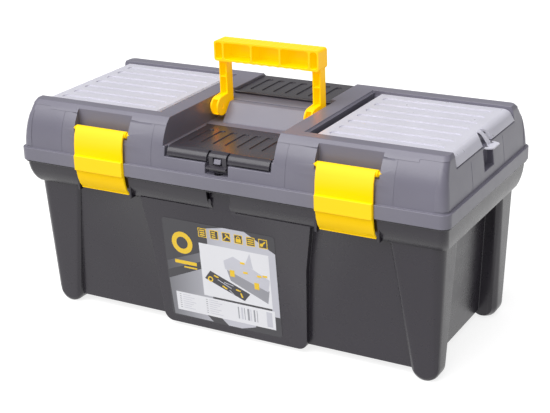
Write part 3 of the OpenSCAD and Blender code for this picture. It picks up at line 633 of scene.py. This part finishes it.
class TOOLBOX_OT_press_smoke_lids(PieceOperator, Operator):
    """Press the dark lids of the small compartments"""
    bl_idname = "toolbox.press_smoke_lids"
    bl_label = "Smoke lids"

    def build(self, sizes, colours):
        mat = moulded("smoke_plastic", colours.smoke, rough=0.24, vary=0.02, edges=0.02)
        for end in ("front", "rear"):
            soften_node(end + "_compartment_lid", mat, sizes.lid_round)


class TOOLBOX_OT_fit_tray(PieceOperator, Operator):
    """Make the tray and every divider"""
    bl_idname = "toolbox.fit_tray"
    bl_label = "Tray and dividers"

    def build(self, sizes, colours):
        black = moulded("tray_plastic", colours.tray, rough=0.40)
        grey = moulded("divider_plastic", colours.lid, rough=0.45)
        soften_node("tray", black, sizes.tray_round)
        for node in sorted(frame["nodes"]):
            if node.startswith("tray_divider"):
                soften_node(node, grey, sizes.tray_round)
            elif node.startswith("organizer_divider"):
                soften_node(node, black, sizes.tray_round)


class TOOLBOX_OT_fit_hinge_pins(PieceOperator, Operator):
    """Make the wire pins of the lid's hinges"""
    bl_idname = "toolbox.fit_hinge_pins"
    bl_label = "Hinge pins"

    def build(self, sizes, colours):
        mat = bright_wire("pin_steel", colours.steel)
        for side in ("left", "right"):
            soften_node("hinge_pin_" + side, mat, sizes.small_round)


class TOOLBOX_OT_print_label(PieceOperator, Operator):
    """Print the sheet label on the centre panel"""
    bl_idname = "toolbox.print_label"
    bl_label = "Label"

    def build(self, sizes, colours):
        sheet = LabelPrint(sizes.print_step)
        sheet.rounded_sheet(sizes.label_corner)
        for draw in (draw_bands, draw_mark, draw_icons, draw_picture, draw_table):
            draw(sheet)
        low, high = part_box("label")
        left, width = low[0], high[0] - low[0]
        silver = colours.ink_silver

        def flat_ink(name, tone, rough, vary=0.05):
            return moulded(name, tone, rough=rough, depth=0.00001, vary=vary, edges=0.0)

        inks = {
            "dark": flat_ink("ink_dark", colours.ink_dark, 0.24),
            "silver": silver_ink("ink_silver", [c * 0.35 for c in silver], silver,
                                 left, left + width * 0.55),
            "band": silver_ink("ink_band", colours.ink_dark, [c * 0.45 for c in silver],
                               left - 0.02, left + width * 0.6),
            "white": flat_ink("ink_white", colours.ink_white, 0.22, 0.02),
            "yellow": flat_ink("ink_yellow", colours.ink_yellow, 0.22, 0.02),
            "grey": flat_ink("ink_grey", [c * 0.6 for c in silver], 0.3),
            "lilac": flat_ink("ink_lilac", [c * 1.1 for c in silver], 0.3),
        }
        piece = new_piece("label_print", sheet.bm, inks["dark"], body_of("label"), slot_of("label"),
                          "label")
        for ink in list(inks)[1:]:
            piece.data.materials.append(inks[ink])
        order = list(inks)
        for face, ink in zip(piece.data.polygons, sheet.inks):
            face.material_index = order.index(ink)
            face.use_smooth = False


class TOOLBOX_OT_set_stage(Operator):
    """Set the floor, the studio light and the camera"""
    bl_idname = "toolbox.set_stage"
    bl_label = "Stage"

    def execute(self, context):
        scene = context.scene
        stage = scene.toolbox_stage
        make_floor(scene.toolbox_colours.floor, stage.floor_glow)
        make_lamps(scene, stage)
        make_camera(scene, stage.lens)
        return {"FINISHED"}


def make_floor(tone, glow):
    """A pale paper floor that throws no light back on the box."""
    bm = bmesh.new()
    bmesh.ops.create_grid(bm, x_segments=1, y_segments=1, size=FLOOR_SIZE)
    mesh = bpy.data.meshes.new("floor")
    bm.to_mesh(mesh)
    bm.free()
    floor = bpy.data.objects.new("floor", mesh)
    floor.location.z = -FLOOR_DROP
    bpy.context.scene.collection.objects.link(floor)
    mat, _, shader = node_material("floor_paper")
    shader.inputs["Base Color"].default_value = (*tone, 1)
    shader.inputs["Roughness"].default_value = 0.9
    shader.inputs["Emission Color"].default_value = (1, 1, 1, 1)
    shader.inputs["Emission Strength"].default_value = glow
    mesh.materials.append(mat)
    floor.visible_diffuse = False


def make_lamps(scene, stage):
    """One wide soft lamp above the front, and an even light all round."""
    data = bpy.data.lights.new("key_lamp", "SUN")
    data.energy = stage.key
    data.angle = stage.key_spread
    lamp = bpy.data.objects.new("key_lamp", data)
    lamp.rotation_euler = Vector(KEY_WAY).to_track_quat("-Z", "Y").to_euler()
    scene.collection.objects.link(lamp)
    world = bpy.data.worlds.new("studio")
    scene.world = world
    world.use_nodes = True
    sky = world.node_tree.nodes["Background"]
    sky.inputs["Color"].default_value = (1.0, 1.0, 1.0, 1)
    sky.inputs["Strength"].default_value = stage.sky
    scene.view_settings.view_transform = "Standard"


def make_camera(scene, lens):
    """The camera, turned by its three angles."""
    azimuth, elevation, roll = (math.radians(a) for a in CAMERA_ANGLES)
    back = Vector((math.sin(azimuth) * math.cos(elevation), -math.cos(azimuth) * math.cos(elevation),
                   math.sin(elevation)))
    level = (-back).cross(Vector((0, 0, 1))).normalized()
    upright = level.cross(-back)
    right = math.cos(roll) * level + math.sin(roll) * upright
    up = -math.sin(roll) * level + math.cos(roll) * upright
    data = bpy.data.cameras.new("camera")
    data.lens = lens
    data.sensor_width = CAMERA_SENSOR
    camera = bpy.data.objects.new("camera", data)
    camera.rotation_mode = "QUATERNION"
    camera.rotation_quaternion = Matrix((right, up, back)).transposed().to_quaternion()
    camera.location = CAMERA_PLACE
    scene.collection.objects.link(camera)
    scene.camera = camera


class TOOLBOX_PT_pieces(Panel):
    """Lists the toolbox's pieces and settings"""
    bl_idname = "TOOLBOX_PT_pieces"
    bl_label = "Toolbox with tray"
    bl_space_type = "VIEW_3D"
    bl_region_type = "UI"
    bl_category = "Toolbox"

    def draw(self, context):
        layout = self.layout
        for group in ("toolbox_sizes", "toolbox_colours", "toolbox_stage"):
            box = layout.box()
            settings = getattr(context.scene, group)
            for name in settings.__annotations__:
                box.prop(settings, name)
        for step in STEPS:
            layout.operator(step.bl_idname)


STEPS = (TOOLBOX_OT_set_stage, TOOLBOX_OT_mould_base, TOOLBOX_OT_mould_lid, TOOLBOX_OT_mould_handle,
         TOOLBOX_OT_mould_latches, TOOLBOX_OT_press_clear_lids, TOOLBOX_OT_press_smoke_lids,
         TOOLBOX_OT_print_label, TOOLBOX_OT_fit_tray, TOOLBOX_OT_fit_hinge_pins)
CLASSES = (ToolboxSizes, ToolboxColours, ToolboxStage, *STEPS, TOOLBOX_PT_pieces)


def register():
    for cls in CLASSES:
        bpy.utils.register_class(cls)
    bpy.types.Scene.toolbox_sizes = PointerProperty(type=ToolboxSizes)
    bpy.types.Scene.toolbox_colours = PointerProperty(type=ToolboxColours)
    bpy.types.Scene.toolbox_stage = PointerProperty(type=ToolboxStage)


def unregister():
    for name in ("toolbox_sizes", "toolbox_colours", "toolbox_stage"):
        delattr(bpy.types.Scene, name)
    for cls in reversed(CLASSES):
        bpy.utils.unregister_class(cls)


def main():
    register()
    bpy.ops.toolbox.set_stage()
    bpy.ops.toolbox.mould_base()
    bpy.ops.toolbox.mould_lid()
    bpy.ops.toolbox.mould_handle()
    bpy.ops.toolbox.mould_latches()
    bpy.ops.toolbox.press_clear_lids()
    bpy.ops.toolbox.press_smoke_lids()
    bpy.ops.toolbox.print_label()
    bpy.ops.toolbox.fit_tray()
    bpy.ops.toolbox.fit_hinge_pins()


if __name__ == "__main__":
    main()
